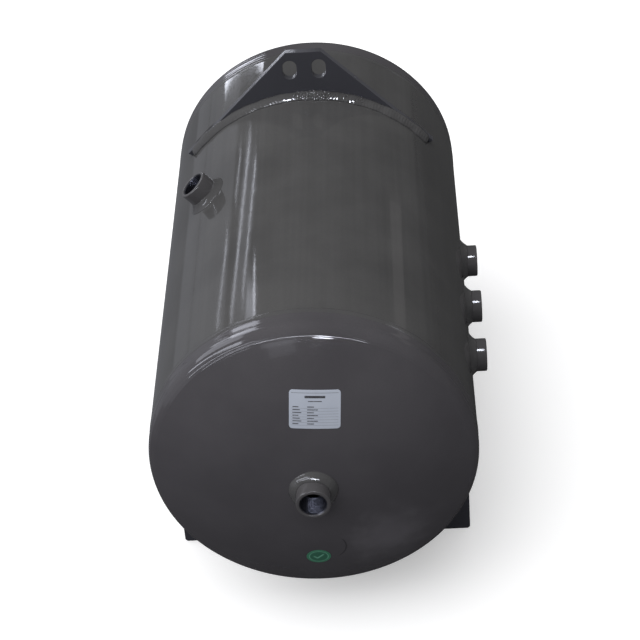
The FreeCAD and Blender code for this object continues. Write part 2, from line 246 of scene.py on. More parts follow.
def between(start, stop, size):
    """Even steps of about the given size from start up to, but not including, stop."""
    count = max(1, ceil(abs(stop - start) / size))
    return [start + (stop - start) * i / count for i in range(count)]


def through(start, stop, size):
    """The same even steps, with stop as the last of them."""
    return between(start, stop, size) + [stop]


def shader_group(name, ins, outs):
    """An empty shader node group with named number sockets."""
    group = bpy.data.node_groups.new(name, "ShaderNodeTree")
    for label, usual in ins.items():
        slot = group.interface.new_socket(label, in_out="INPUT", socket_type="NodeSocketFloat")
        slot.default_value = usual
    for label in outs:
        group.interface.new_socket(label, in_out="OUTPUT", socket_type="NodeSocketFloat")
    return group, group.nodes.new("NodeGroupInput").outputs, group.nodes.new("NodeGroupOutput").inputs


def orange_peel():
    """The soft pebbling of sprayed enamel with a few dust nibs in it, as a height in metres."""
    usual = {"Size": 0.002, "Depth": 0.00001, "Nibs": 0.3}
    group, given, out = shader_group("Orange peel", usual, ["Height"])
    place = surface_place(group)
    scale = sums(group, "DIVIDE", 1.0, given["Size"])
    peel = noise(group, place, scale, 1.5)
    flow = noise(group, place, times(group, scale, 0.2), 1.0)
    cells = {"Vector": place, "Scale": times(group, scale, 0.13)}
    nib = put(group, "ShaderNodeTexVoronoi", cells).outputs["Distance"]
    nib = times(group, ramp(group, nib, 0.0, 0.07, 1.0, 0.0), given["Nibs"])
    height = sums(group, "MULTIPLY_ADD", flow, 2.0, peel)
    height = sums(group, "MULTIPLY_ADD", nib, 2.0, height)
    group.links.new(times(group, height, given["Depth"]), out["Height"])
    return group


def handling_marks():
    """Hairline scratches, a thin film of dust and slow clouding, as masks from 0 to 1."""
    usual = {"Hairlines": 0.4, "Dust": 0.4}
    outs = ["Hairlines", "Dust", "Clouding"]
    group, given, out = shader_group("Handling marks", usual, outs)
    place = surface_place(group)
    marks = 0.0
    for turn, patch_scale in (((0.3, 0.2, 0.5), 14.0), ((1.2, 0.7, 2.1), 19.0)):
        turned = {"Vector": place, "Rotation": turn, "Scale": (300, 300, 7)}
        turned = put(group, "ShaderNodeMapping", turned).outputs[0]
        line = ramp(group, noise(group, turned, 1.0, 0.5), 0.735, 0.76)
        patch = ramp(group, noise(group, place, patch_scale), 0.56, 0.66)
        marks = sums(group, "MAXIMUM", marks, times(group, line, patch))
    cloud = noise(group, place, 9.0, 4.0)
    speck = noise(group, place, 700.0, 2.0)
    normal = put(group, "ShaderNodeNewGeometry").outputs["Normal"]
    upward = split(group, normal)["Z"]
    lying = times(group, ramp(group, upward, -0.2, 0.9, 0.15), given["Dust"])
    dust = times(group, cloud, speck, 3.0)
    group.links.new(times(group, marks, given["Hairlines"]), out["Hairlines"])
    group.links.new(times(group, dust, lying), out["Dust"])
    group.links.new(cloud, out["Clouding"])
    return group


peel_group, marks_group = orange_peel(), handling_marks()


def blend(tree, share, first, second):
    """Mixes two colours by a share from 0 to 1."""
    node = put(tree, "ShaderNodeMix", {0: share, 6: first, 7: second}, data_type="RGBA")
    return node.outputs[2]


def start_look(name):
    """A new material, its node tree, and the shader that its look is given to."""
    material = bpy.data.materials.new(name)
    material.use_nodes = True
    return material, material.node_tree, material.node_tree.nodes["Principled BSDF"]


def end_look(tree, shader, colour, roughness, height):
    """Gives a shader its colour and roughness, and a relief from a height in metres."""
    bump = put(tree, "ShaderNodeBump", {"Height": height, "Distance": 1.0}).outputs[0]
    for key, given in (("Base Color", colour), ("Roughness", roughness), ("Normal", bump)):
        tree.links.new(given, shader.inputs[key])


dust_colour = (0.20, 0.195, 0.185, 1)
rough_drift = 0.008


def enamel(name, colour, peel, hairlines=0.35, dust=0.35, rough=0.055, extra=None):
    """Gloss enamel on steel. extra(tree, place) gives a piece's own tone, roughness and height."""
    material, tree, paint = start_look(name)
    peel = dict(zip(("Size", "Depth", "Nibs"), peel))
    height = put(tree, "ShaderNodeGroup", peel, node_tree=peel_group).outputs["Height"]
    wear = {"Hairlines": hairlines, "Dust": dust}
    lines, film, cloud = put(tree, "ShaderNodeGroup", wear, node_tree=marks_group).outputs
    tone = ramp(tree, cloud, 0.3, 0.7, 0.92, 1.08)
    roughness = ramp(tree, cloud, 0.3, 0.7, rough - rough_drift, rough + rough_drift)
    if extra:
        own_tone, own_rough, own_height = extra(tree, surface_place(tree))
        tone = times(tree, tone, own_tone)
        roughness = sums(tree, "ADD", roughness, own_rough)
        height = sums(tree, "ADD", height, own_height)
    shade = blend(tree, times(tree, film, 0.25), scaled(tree, colour, tone), dust_colour)
    roughness = sums(tree, "MULTIPLY_ADD", film, 0.08, roughness)
    roughness = sums(tree, "MULTIPLY_ADD", lines, 0.2, roughness)
    height = sums(tree, "MULTIPLY_ADD", lines, -0.000004, height)
    end_look(tree, paint, shade, roughness, height)
    paint.inputs["IOR"].default_value = 1.5
    return material


def rolled_plate(tree, place):
    """Faint lines that run along the drum, as the rolls and the spray passes left them."""
    lines = noise(tree, place, 1.0, 3.0, (150, 2.2, 150))
    broad = noise(tree, place, 1.0, 1.0, (34, 1.2, 34))
    tone = ramp(tree, lines, 0.3, 0.7, 0.965, 1.035)
    tone = times(tree, tone, ramp(tree, broad, 0.35, 0.65, 0.97, 1.03))
    roughness = ramp(tree, lines, 0.3, 0.7, -0.006, 0.006)
    return tone, roughness, times(tree, lines, 0.000012)


vessel_grey = (0.0615, 0.0612, 0.0630)
shell_enamel = enamel("shell_enamel", vessel_grey, (0.0034, 0.000018, 0.5), extra=rolled_plate)

inner_radius = shell_radius - plate_wall
outline = [(shell_radius, along) for along in between(-half_shell, half_shell, 0.005)]
outline += [(shell_radius, half_shell), (inner_radius, half_shell)]
outline += [(inner_radius, along) for along in between(half_shell, -half_shell, 0.04)[1:]]
outline += [(inner_radius, -half_shell)]
shell = build(
    "shell_plate", spin_outline(outline), shell_enamel,
    (spun, {"Points around": 300}),
    (placed, {"Place": (0, 0, axis_height), "Turn": (pi / 2, 0, 0)}),
    (uneven, {"Depth": 0.00045, "Wave size": (0.07, 0.45, 0.07), "Seed": 3.0}),
)

# Where the sockets go through: the direction each one points in, and how far along it stands.
left_angle = radians(41.9)
left_way = Vector((-sin(left_angle), 0, cos(left_angle)))
shell_sockets = {
    "left_socket": (left_way, 0.028),
    "right_socket_front": (rightward, -0.1507),
    "right_socket_middle": (rightward, -0.045),
    "right_socket_rear": (rightward, 0.0607),
}
drill = bmesh.new()
for way, along in shell_sockets.values():
    hole = bmesh.ops.create_cone(
        drill, cap_ends=True, segments=64, radius1=socket_hole, radius2=socket_hole, depth=0.05
    )
    turn = up.rotation_difference(way).to_matrix()
    bmesh.ops.rotate(drill, cent=(0, 0, 0), matrix=turn, verts=hole["verts"])
    centre = Vector((0, along, axis_height)) + way * inner_radius
    bmesh.ops.translate(drill, vec=centre, verts=hole["verts"])
drill_mesh = bpy.data.meshes.new("drill")
drill.to_mesh(drill_mesh)
drill.free()
drills = stand("drill", drill_mesh)


def finish_with(piece, kind, **settings):
    """Runs one ordinary modifier on a piece and keeps its result as the piece's own mesh."""
    step = piece.modifiers.new(kind, kind)
    for key, setting in settings.items():
        setattr(step, key, setting)
    mesh = settled(piece)
    piece.modifiers.clear()
    piece.data = mesh


finish_with(shell, "BOOLEAN", operation="DIFFERENCE", object=drills, solver="EXACT")
bpy.data.objects.remove(drills)
fit(shell, "shell")

# ---- heads ----
# Two dished ends, pressed and then flanged from the same plate: a flat crown, a tight knuckle
# and a short straight flange. The flanging roller leaves fine rings round the knuckle.

crown_radius, knuckle_radius, flange_length = 0.371, 0.021, 0.020
ring_pitch, ring_height, rings_end = 0.0041, 0.000042, 0.0415
tangent = half_shell + flange_length
crown_centre = tangent - sqrt(
    (crown_radius - knuckle_radius) ** 2 - (shell_radius - knuckle_radius) ** 2
)
knuckle_start = asin((shell_radius - knuckle_radius) / (crown_radius - knuckle_radius))
apex = crown_centre + crown_radius


def roller_rings(distance):
    """How far the roller's rings lift the surface, by distance past the crown's edge: they
    start just inside it, deepen and widen outwards, and end short of the seam."""
    fade = min(1.0, max(0.0, 1 + distance / 0.0025), max(0.0, (rings_end - distance) / 0.005))
    stretched = distance / (1 + distance / 0.06) + 0.0007 * sin(distance * 310)
    height = ring_height + 0.0016 * max(0.0, distance)
    return height * fade * sin(stretched * 2 * pi / ring_pitch)


def crown_and_knuckle(wall):
    """Points from the socket's hole out to the seam, on a surface so far under the outside.
    The outside is drawn finely and carries the rings; the inside is plain."""
    fine_steps, coarse_steps = (0.016, 0.0017, 0.024, 0.0006), (0.06, 0.02, 0.12, 0.01)
    crown_step, edge_step, bend_step, flange_step = coarse_steps if wall else fine_steps

    def surface(radius, past):
        """A radius brought in by the wall, or lifted by the rings on the outside."""
        return radius - wall + (0 if wall else roller_rings(past))

    points = []
    first, near_edge = asin(socket_hole / (crown_radius - wall)), knuckle_start - 0.06
    crown_angles = between(first, near_edge, crown_step)
    for angle in crown_angles + between(near_edge, knuckle_start, edge_step):
        reach = surface(crown_radius, (angle - knuckle_start) * crown_radius)
        points.append((reach * sin(angle), crown_centre + reach * cos(angle)))
    for angle in through(knuckle_start, pi / 2, bend_step):
        reach = surface(knuckle_radius, (angle - knuckle_start) * knuckle_radius)
        out = shell_radius - knuckle_radius + reach * sin(angle)
        points.append((out, tangent + reach * cos(angle)))
    for along in through(tangent, half_shell, flange_step)[1:]:
        past = (pi / 2 - knuckle_start) * knuckle_radius + tangent - along
        points.append((surface(shell_radius, past), along))
    return points


patch_middle, patch_reach = (0.088, -0.38, axis_height - 0.098), 0.095
scuff_middle, scuff_radius = (0.002, -0.384, axis_height - 0.103), 0.031


def pressed_plate(tree, place):
    """Spin rings too fine to model, a dusty patch low on the right, and one curved scuff."""
    x, _, z = split(tree, place)
    rise = minus(tree, z, axis_height)
    out = vectors(tree, "LENGTH", join(tree, x, rise))
    rings = {"W": out, "Scale": 260.0, "Detail": 2.0}
    rings = put(tree, "ShaderNodeTexNoise", rings, noise_dimensions="1D").outputs[0]
    gap = vectors(tree, "DISTANCE", place, patch_middle)
    gap = sums(tree, "MULTIPLY_ADD", noise(tree, place, 42.0, 3.0), 0.05, gap)
    patch = ramp(tree, gap, 0.03, patch_reach, 1.0, 0.0)
    off = minus(tree, vectors(tree, "DISTANCE", place, scuff_middle), scuff_radius)
    line = ramp(tree, sums(tree, "ABSOLUTE", off), 0.0004, 0.0015, 1.0, 0.0)
    right = ramp(tree, x, 0.018, 0.03)
    low = ramp(tree, rise, -0.092, -0.086, 1.0, 0.0)
    scuff = times(tree, line, right, low)
    tone = sums(tree, "MULTIPLY_ADD", patch, 0.62, 1.0)
    tone = sums(tree, "MULTIPLY_ADD", scuff, -0.45, tone)
    return tone, times(tree, patch, 0.10), times(tree, rings, 0.000008)


# The heads carry the shell's paint tinted bluish: a painted tint for the bluish light on the front
# head.
head_enamel_tinted_bluish = enamel(
    "head_enamel_tinted_bluish", (0.0620, 0.0592, 0.0668), (0.0030, 0.000010, 0.5), extra=pressed_plate
)
head_outline = crown_and_knuckle(0.0) + crown_and_knuckle(plate_wall)[::-1]
for end, turn in (("front", pi / 2), ("rear", -pi / 2)):
    head = build(
        f"{end}_dished_head", spin_outline(head_outline), head_enamel_tinted_bluish,
        (spun, {"Points around": 300}),
        (placed, {"Place": (0, 0, axis_height), "Turn": (turn, 0, 0)}),
        (uneven, {"Depth": 0.0002, "Wave size": (0.09, 0.09, 0.09), "Seed": 5.0}),
    )
    fit(head, f"{end}_head")

# ---- girth and seam welds ----
# The butt welds that close the tank: one bead round each end where the head meets the shell,
# and one straight bead along the plate's own joint. Laid by machine, low and even, and painted
# over with the rest.

bead_width, bead_height, bead_pitch = 0.009, 0.0004, 0.0042
seam_angle = radians(108)


def skin_rows(name, rows, closed, across):
    """A mesh over rows of points that are each closed round; ends are capped if not closed.
    It keeps the distance along the rows, and each point's place across the bead."""
    mesh = bmesh.new()
    grid = [[mesh.verts.new(point) for point in row] for row in rows]
    count = len(rows[0])
    last = len(rows) if closed else len(rows) - 1
    for i in range(last):
        here, there = grid[i], grid[(i + 1) % len(rows)]
        for j in range(count):
            k = (j + 1) % count
            mesh.faces.new((here[j], here[k], there[k], there[j]))
    if not closed:
        mesh.faces.new(grid[0])
        mesh.faces.new(grid[-1][::-1])
    bmesh.ops.recalc_face_normals(mesh, faces=mesh.faces)
    result = bpy.data.meshes.new(name)
    mesh.to_mesh(result)
    mesh.free()
    travel, distance = [], 0.0
    for before, row in zip([rows[0]] + rows[:-1], rows):
        distance += (Vector(row[0]) - Vector(before[0])).length
        travel += [distance] * count
    result.attributes.new("along", "FLOAT", "POINT").data.foreach_set("value", travel)
    spread = [across[j] for _ in rows for j in range(count)]
    result.attributes.new("across", "FLOAT", "POINT").data.foreach_set("value", spread)
    if closed:
        distance += (Vector(rows[-1][0]) - Vector(rows[0][0])).length
    return result, distance


def named(tree, name):
    """A number kept on the mesh."""
    return put(tree, "GeometryNodeInputNamedAttribute", {"Name": name}).outputs[0]


def ripple_tree():
    """The crescent ripples of a weld pool, and its lumps; both die out at the bead's toes."""
    usual = {"Depth": 0.0001, "Pitch": 0.003, "Bow": 0.6, "Lumps": 0.0001, "Lump_size": 0.006,
             "Seed": 1.0}
    tree, given = start_tree("Weld ripples", **usual)
    across, along = named(tree, "across"), named(tree, "along")
    middle = minus(tree, across, 0.5)
    bow = times(tree, middle, middle, given["Bow"])
    count = sums(tree, "DIVIDE", along, given["Pitch"])
    phase = sums(tree, "MULTIPLY_ADD", bow, 4.0, count)
    wave = sums(tree, "ABSOLUTE", sums(tree, "SINE", times(tree, phase, pi)))
    wave = times(tree, minus(tree, wave, 0.5), given["Depth"])
    place = put(tree, "GeometryNodeInputPosition").outputs[0]
    lump = seeded_noise(tree, place, sums(tree, "DIVIDE", 1.0, given["Lump size"]), given["Seed"])
    lump = times(tree, minus(tree, lump, 0.45), given["Lumps"])
    body = ramp(tree, sums(tree, "ABSOLUTE", middle), 0.30, 0.5, 1.0, 0.0)
    lift = times(tree, sums(tree, "ADD", wave, lump), body)
    normal = put(tree, "GeometryNodeInputNormal").outputs[0]
    return end_moved(tree, given, given["Geometry"], normal, lift)


rippled = ripple_tree()
weld_enamel = enamel(
    "weld_enamel", (0.063, 0.0625, 0.0655), (0.0018, 0.000012, 0.8), hairlines=0.1, rough=0.06
)


def bead_section(width, height, points=9):
    """A low rounded bead as (sideways, up, place across), its root just inside the plate."""
    section = []
    for i in range(points):
        t = i / (points - 1)
        section.append(((t - 0.5) * width, height * sin(pi * t) ** 0.8 - 0.00008, t))
    return section + [(width * 0.42, -0.0006, 0.0), (-width * 0.42, -0.0006, 0.0)]


def swept(name, frames, closed, section):
    """A section's mesh through frames of (point, sideways, outwards, size), and its length."""
    rows = []
    for point, side, out, size in frames:
        rows.append([point + side * (s * size) + out * (h * size) for s, h, _ in section])
    return skin_rows(name, rows, closed, [t for _, _, t in section])


def machine_bead(name, node, frames, closed, seed):
    """A low bead with even ripples, their pitch trimmed to go into its length."""
    mesh, length = swept(name, frames, closed, bead_section(bead_width, bead_height))
    pitch = length / round(length / bead_pitch)
    ripples = {"Depth": 0.00008, "Pitch": pitch, "Lumps": 0.0002, "Seed": seed}
    fit(build(name, mesh, weld_enamel, (rippled, ripples)), node)


def round_shell(angle, along, lift=0.0):
    """A point on the shell, at an angle from the top towards the left, and the way out there."""
    out = Vector((-sin(angle), 0, cos(angle)))
    return Vector((0, along, axis_height)) + out * (shell_radius + lift), out


for end, side in (("front", -1), ("rear", 1)):
    frames = []
    for angle in between(0, 2 * pi, 0.0045):
        point, out = round_shell(angle, side * half_shell)
        frames.append((point, ahead * side, out, 1.0))
    machine_bead(f"{end}_girth_bead", f"{end}_girth_weld", frames, True, 2.0 + side)

frames = []
seam_reach = half_shell - bead_width / 2
for along in through(-seam_reach, seam_reach, 0.001):
    point, out = round_shell(seam_angle, along)
    frames.append((point, Vector((cos(seam_angle), 0, sin(seam_angle))), out, 1.0))
machine_bead("seam_bead", "shell_seam_weld", frames, False, 7.0)

# ---- pipe sockets ----
# Six turned steel sockets with a one inch pipe thread inside, set through the wall. Their
# outsides and rims are painted with the tank; the bores were plugged, so the thread is bare.

socket_radius, thread_core = 0.021, 0.01515
thread_pitch, thread_depth, thread_runout = 0.0254 / 11, 0.00135, 0.0015
socket_inset, socket_chamfer = 0.003, 0.0015


def eased(corners, steps=4):
    """A closed outline whose corners, (out, along, fillet), are rounded by their fillets."""
    points = []
    nexts = corners[1:] + corners[:1]
    for before, corner, after in zip(corners[-1:] + corners[:-1], corners, nexts):
        here, fillet = Vector(corner[:2]), corner[2]
        if not fillet:
            points.append(tuple(here))
            continue
        back = (Vector(before[:2]) - here).normalized()
        on = (Vector(after[:2]) - here).normalized()
        half = back.angle(on) / 2
        centre = here + (back + on).normalized() * (fillet / sin(half))
        first = here + back * (fillet / tan(half)) - centre
        last = here + on * (fillet / tan(half)) - centre
        points += [tuple(centre + first.slerp(last, i / steps) * fillet) for i in range(steps + 1)]
    return points


def thread_tree():
    """Cuts a rounded vee thread into a bore round Z and marks the bore as bare metal."""
    usual = {"Core_radius": 0.015, "Pitch": 0.0023, "Depth": 0.001, "Start": 0.0, "Stop": 1.0}
    tree, given = start_tree("Pipe thread", **usual)
    place = put(tree, "GeometryNodeInputPosition").outputs[0]
    x, y, z = split(tree, place)
    flat = join(tree, x, y)
    limit = sums(tree, "ADD", given["Core radius"], 0.0002)
    bore = sums(tree, "LESS_THAN", vectors(tree, "LENGTH", flat), limit)
    begun = ramp(tree, minus(tree, z, given["Start"]), 0.0, thread_runout)
    ended = ramp(tree, minus(tree, given["Stop"], z), 0.0, thread_runout)
    turn = sums(tree, "DIVIDE", sums(tree, "ARCTAN2", y, x), 2 * pi)
    phase = minus(tree, sums(tree, "DIVIDE", z, given["Pitch"]), turn)
    vee = ramp(tree, sums(tree, "PINGPONG", phase, 0.5), 0.04, 0.46)
    cut = times(tree, vee, given["Depth"], bore, times(tree, begun, ended))
    marked = {"Geometry": given["Geometry"], "Name": "bare", "Value": bore}
    marked = put(tree, "GeometryNodeStoreNamedAttribute", marked).outputs[0]
    return end_moved(tree, given, marked, vectors(tree, "NORMALIZE", flat), cut)


def fitting_finish():
    """Gloss enamel outside, a little lighter than the shell's as painted light on the rims;
    inside, bare cut steel, dull, painted nearly black and bluish as painted shade in the bore
    and a painted bluish gleam, with spray in the first turns.
    """
    material = enamel("fitting_enamel_lightened", (0.068, 0.066, 0.071), (0.0018, 0.000010, 0.6), rough=0.08)
    tree = material.node_tree
    metal = tree.nodes["Principled BSDF"]
    bare = put(tree, "ShaderNodeAttribute", attribute_name="bare").outputs["Fac"]
    stain = noise(tree, surface_place(tree), 160.0, 3.0)
    # The bare steel is painted nearly black and bluish: painted shade in the bore, with a painted
    # bluish gleam.
    steel = blend(tree, stain, (0.014, 0.015, 0.022, 1), (0.060, 0.063, 0.082, 1))
    painted = metal.inputs["Base Color"].links[0].from_socket
    smooth = metal.inputs["Roughness"].links[0].from_socket
    rough = ramp(tree, stain, 0.3, 0.7, 0.28, 0.42)
    mixed = sums(tree, "MULTIPLY_ADD", minus(tree, rough, smooth), bare, smooth)
    tree.links.new(blend(tree, bare, painted, steel), metal.inputs["Base Color"])
    tree.links.new(mixed, metal.inputs["Roughness"])
    tree.links.new(times(tree, bare, 0.8), metal.inputs["Metallic"])
    return material


threaded, fitting_enamel_lightened = thread_tree(), fitting_finish()
# Each socket's way out, the point on the tank's middle line it stands from, the distance from
# there to the wall's outside, and how far it stands out of the wall.
sockets = {
    "front_socket": (-ahead, 0.0, apex, 0.0245),
    "rear_socket": (ahead, 0.0, apex, 0.0245),
    "left_socket": (*shell_sockets["left_socket"], shell_radius, 0.0255),
}
for name in ("right_socket_front", "right_socket_middle", "right_socket_rear"):
    sockets[name] = (*shell_sockets[name], shell_radius, 0.020)

for name, (way, station, surface, projection) in sockets.items():
    inner, mouth = surface - plate_wall - socket_inset, surface + projection
    bore_end = mouth - socket_chamfer
    corners = [
        (socket_radius, inner, 0.0006), (socket_radius, mouth, 0.0017),
        (thread_core + 0.0021, mouth, 0.0005),
        (thread_core, bore_end - 0.0006, 0.0003), (thread_core, inner, 0.0),
    ]
    points = eased(corners)
    ends = points[-2:]
    points = points[:-1] + [(thread_core, at) for at in between(ends[0][1], inner, 0.00026)[1:]]
    points += [(thread_core, inner)]
    centre = Vector((0, station, axis_height))
    turn = up.rotation_difference(way).to_euler()
    body = build(
        name + "_turned", spin_outline(points), fitting_enamel_lightened,
        (spun, {"Points around": 72}),
        (threaded, {"Core radius": thread_core, "Pitch": thread_pitch, "Depth": thread_depth,
                    "Start": inner + 0.001, "Stop": bore_end - 0.0002}),
        (placed, {"Place": centre, "Turn": turn}),
    )
    fit(body, name)

# ---- socket welds ----
# A hand-laid fillet round the foot of each socket. Its cone is a little uneven, it follows the
# curve of the wall under it, and the enamel has rounded its ripples.

weld_leg, weld_rise, weld_ripples = 0.0089, 0.0074, 44
weld_root, weld_depth = 0.0006, 0.0012
weld_steps = [i / 10 for i in range(11)]
for number, (name, (way, station, surface, _)) in enumerate(sockets.items()):
    on_head = name in ("front_socket", "rear_socket")
    side = rightward if on_head else ahead
    other = way.cross(side)
    centre = Vector((0, station, axis_height)) + way * surface
    wall_radius, fullness = (crown_radius, 0.00063) if on_head else (shell_radius, -0.00056)
    rows = []
    for angle in between(0, 2 * pi, 2 * pi / 200):
        level = side * cos(angle) + other * sin(angle)
        drift = 0.0007 * sin(angle * 2 + number) + 0.0005 * sin(angle * 5 + 2 * number)
        rise = weld_rise + drift
        reach = weld_leg + 0.6 * drift
        foot = socket_radius + reach
        # How far the wall has fallen away under the foot; only a head falls away both ways.
        fall = foot * sin(angle), (foot * cos(angle) if on_head else 0.0)
        drop = sqrt(wall_radius ** 2 - fall[0] ** 2 - fall[1] ** 2) - wall_radius
        spots = []
        for t in weld_steps:
            swell = fullness * sin(pi * t)
            spots.append((socket_radius + reach * t + swell - 0.0001 * (1 - t),
                          rise * (1 - t) + drop * t + swell - 0.00008 * t))
        spots += [(socket_radius + reach * 0.85, drop - weld_depth),
                  (socket_radius - weld_root, drop - weld_depth),
                  (socket_radius - weld_root, rise - 0.001)]
        rows.append([centre + level * out + way * height for out, height in spots])
    mesh, length = skin_rows(name + "_weld_bead", rows, True, weld_steps + [0.0, 0.0, 0.0])
    ripples = {"Depth": 0.00012, "Pitch": length / weld_ripples, "Bow": 0.5, "Lumps": 0.0007,
               "Lump size": 0.009, "Seed": 11.0 + number}
    bead = build(name + "_weld_bead", mesh, weld_enamel, (rippled, ripples))
    fit(bead, name + "_weld")

# ---- slotted bracket ----
# A flame-cut plate on edge across the top of the shell near the rear, with sloping shoulders
# that end in short square tips, and two upright slots for fixing bolts under its top edge.

plate_thickness, plate_gap = 0.010, 0.0003
bracket_station, bracket_top, bracket_top_half = 0.190, 0.267, 0.024
tip_angle, tip_height = radians(55), 0.007
slot_spacing, slot_width, slot_length, slot_height = 0.0394, 0.019, 0.028, 0.241


def flame_cut_and_edge_highlight(tree, place):
    """Drag lines that the torch leaves across a plate's edges, which are painted lighter as a
    painted highlight; the rolled faces stay plain.
    """
    normal = put(tree, "ShaderNodeNewGeometry").outputs["Normal"]
    facing = sums(tree, "ABSOLUTE", split(tree, normal)["Y"])
    edge = ramp(tree, facing, 0.25, 0.75, 1.0, 0.0)
    drag = noise(tree, place, 1.0, 2.0, (520, 40, 520))
    # The edges are painted lighter and the faces a little darker: a painted highlight on the edges.
    tone = sums(tree, "MULTIPLY_ADD", edge, 0.22, 0.95)
    return tone, times(tree, edge, 0.04), times(tree, drag, edge, 0.00010)


# The plates carry the tank's paint made darker and bluer: painted shade on the bracket and the
# saddles.
plate_enamel_shaded = enamel(
    "plate_enamel_shaded", (0.049, 0.050, 0.061), (0.0028, 0.000010, 0.5), rough=0.16, extra=flame_cut_and_edge_highlight
)


def upright_plate(name, loops, station, node):
    """A plate across the tank cut to closed loops of (across, above the axis), edges eased."""
    ease = 0.0007
    curve = bpy.data.curves.new(name, "CURVE")
    curve.dimensions, curve.fill_mode = "2D", "BOTH"
    curve.extrude, curve.bevel_depth = plate_thickness / 2 - ease, ease
    curve.bevel_resolution, curve.offset = 2, -ease
    for loop in loops:
        spline = curve.splines.new("POLY")
        spline.points.add(len(loop) - 1)
        for point, (across, above) in zip(spline.points, loop):
            point.co = (across, above, 0, 1)
        spline.use_cyclic_u = True
    blank = stand(name, curve)
    raw = settled(blank)
    bpy.data.objects.remove(blank)
    mesh = bmesh.new()
    mesh.from_mesh(raw)
    bmesh.ops.remove_doubles(mesh, verts=mesh.verts, dist=0.00001)
    for vert in mesh.verts:
        across, above, deep = vert.co
        vert.co = (across, station - deep, axis_height + above)
    bmesh.ops.recalc_face_normals(mesh, faces=mesh.faces)
    for face in mesh.faces:
        face.smooth = True
    mesh.to_mesh(raw)
    mesh.free()
    raw.materials.clear()
    raw.materials.append(plate_enamel_shaded)
    plate = stand(name, raw)
    finish_with(plate, "WEIGHTED_NORMAL", weight=100, keep_sharp=False)
    fit(plate, node)


def around_loop(radius, start, stop, size):
    """Points on a circle about the tank's axis, angles from the top towards the left."""
    return [(-radius * sin(angle), radius * cos(angle)) for angle in through(start, stop, size)]


trim = shell_radius + plate_gap
tip = shell_radius + tip_height
outer_tip = (tip * sin(tip_angle), tip * cos(tip_angle))
loops = [
    [(-bracket_top_half, bracket_top), (-outer_tip[0], outer_tip[1])]
    + around_loop(trim, tip_angle, -tip_angle, 0.02)
    + [outer_tip, (bracket_top_half, bracket_top)]
]
straight, bend = (slot_length - slot_width) / 2, slot_width / 2
for side in (-1, 1):
    loops.append([
        (side * slot_spacing / 2 + bend * cos(angle), height + bend * sin(angle))
        for height, first in ((slot_height + straight, 0.0), (slot_height - straight, pi))
        for angle in through(first, first + pi, 0.13)
    ])
upright_plate("slotted_bracket", loops, bracket_station, "top_bracket")

# ---- bracket welds ----
# Fillet welds along both faces of the bracket. The front one was laid by hand from each tip
# towards the top, where the two runs meet in a rough patch with spatter still on it.

fillet_width, fillet_height = 0.0092, 0.0056
fillet_end = radians(1.2)


def spatter_tree():
    """Small round beads of metal thrown on to a weld, thickest round one place."""
    usual = {"Centre": (0.0, 0.0, 0.0), "Reach": 0.04, "Density": 100000.0, "Smallest": 0.0003,
             "Largest": 0.001, "Seed": 1}
    tree, given = start_tree("Weld spatter", **usual)
    place = put(tree, "GeometryNodeInputPosition").outputs[0]
    gap = vectors(tree, "DISTANCE", place, given["Centre"])
    near = ramp(tree, sums(tree, "DIVIDE", gap, given["Reach"]), 0.25, 1.0, 1.0, 0.0)
    body = ramp(tree, named(tree, "across"), 0.02, 0.1)
    density = times(tree, near, body, given["Density"])
    spread = {"Mesh": given["Geometry"], "Density": density, "Seed": given["Seed"]}
    spread = put(tree, "GeometryNodeDistributePointsOnFaces", spread).outputs
    ball = put(tree, "GeometryNodeMeshUVSphere", {"Segments": 8, "Rings": 6, "Radius": 1.0})
    size = {2: given["Smallest"], 3: given["Largest"], "Seed": given["Seed"]}
    size = put(tree, "FunctionNodeRandomValue", size).outputs[1]
    beads = {"Points": spread["Points"], "Instance": ball.outputs[0],
             "Rotation": spread["Rotation"],
             "Scale": join(tree, size, size, times(tree, size, 0.75))}
    beads = put(tree, "GeometryNodeInstanceOnPoints", beads).outputs[0]
    both = put(tree, "GeometryNodeJoinGeometry")
    tree.links.new(beads, both.inputs[0])
    tree.links.new(given["Geometry"], both.inputs[0])
    return end_tree(tree, given, both.outputs[0])


spattered = spatter_tree()


def fillet_section(width, height, points=9):
    """A fillet from the plate's face down to the shell, slightly full, its root inside both."""
    section = []
    for i in range(points):
        t = i / (points - 1)
        full = 0.00075 * sin(pi * t)
        section.append((width * t + full, height * (1 - t) + full, t))
    root, buried = -0.0006, -0.0008
    return section + [(width * 0.85, buried, 0.0), (root, buried, 0.0), (root, height * 0.8, 0.0)]


def plate_fillet(name, node, station, face, middle, reach, seed, spatter=(), heavy=1.0):
    """A fillet along one face of an upright plate, round the shell to a reach either side of a
    middle angle, with patches of spatter on it if given."""
    frames = []
    for angle in through(-reach, reach, 0.0035):
        point, out = round_shell(middle + angle, station + face * plate_thickness / 2)
        left = (reach - abs(angle)) * shell_radius / fillet_width
        size = sqrt(max(0.02, 1 - (1 - min(1.0, left)) ** 2))
        size *= heavy * (1 + 0.05 * sin(angle * 23 + seed) + 0.04 * sin(angle * 51 + 2 * seed))
        frames.append((point, ahead * face, out, size))
    mesh, _ = swept(name, frames, False, fillet_section(fillet_width, fillet_height))
    steps = [(rippled, {"Depth": 0.00040, "Pitch": 0.0046, "Bow": 0.7, "Lumps": 0.0016,
                        "Lump size": 0.007, "Seed": seed})]
    steps += [(spattered, sizes) for sizes in spatter]
    fit(build(name, mesh, weld_enamel, *steps), node)


def over_weld(across, lift=0.004):
    """A point on the bracket's front fillet, so far to the right of the top."""
    point, _ = round_shell(-asin(across / shell_radius), bracket_station - 0.0075, lift)
    return point


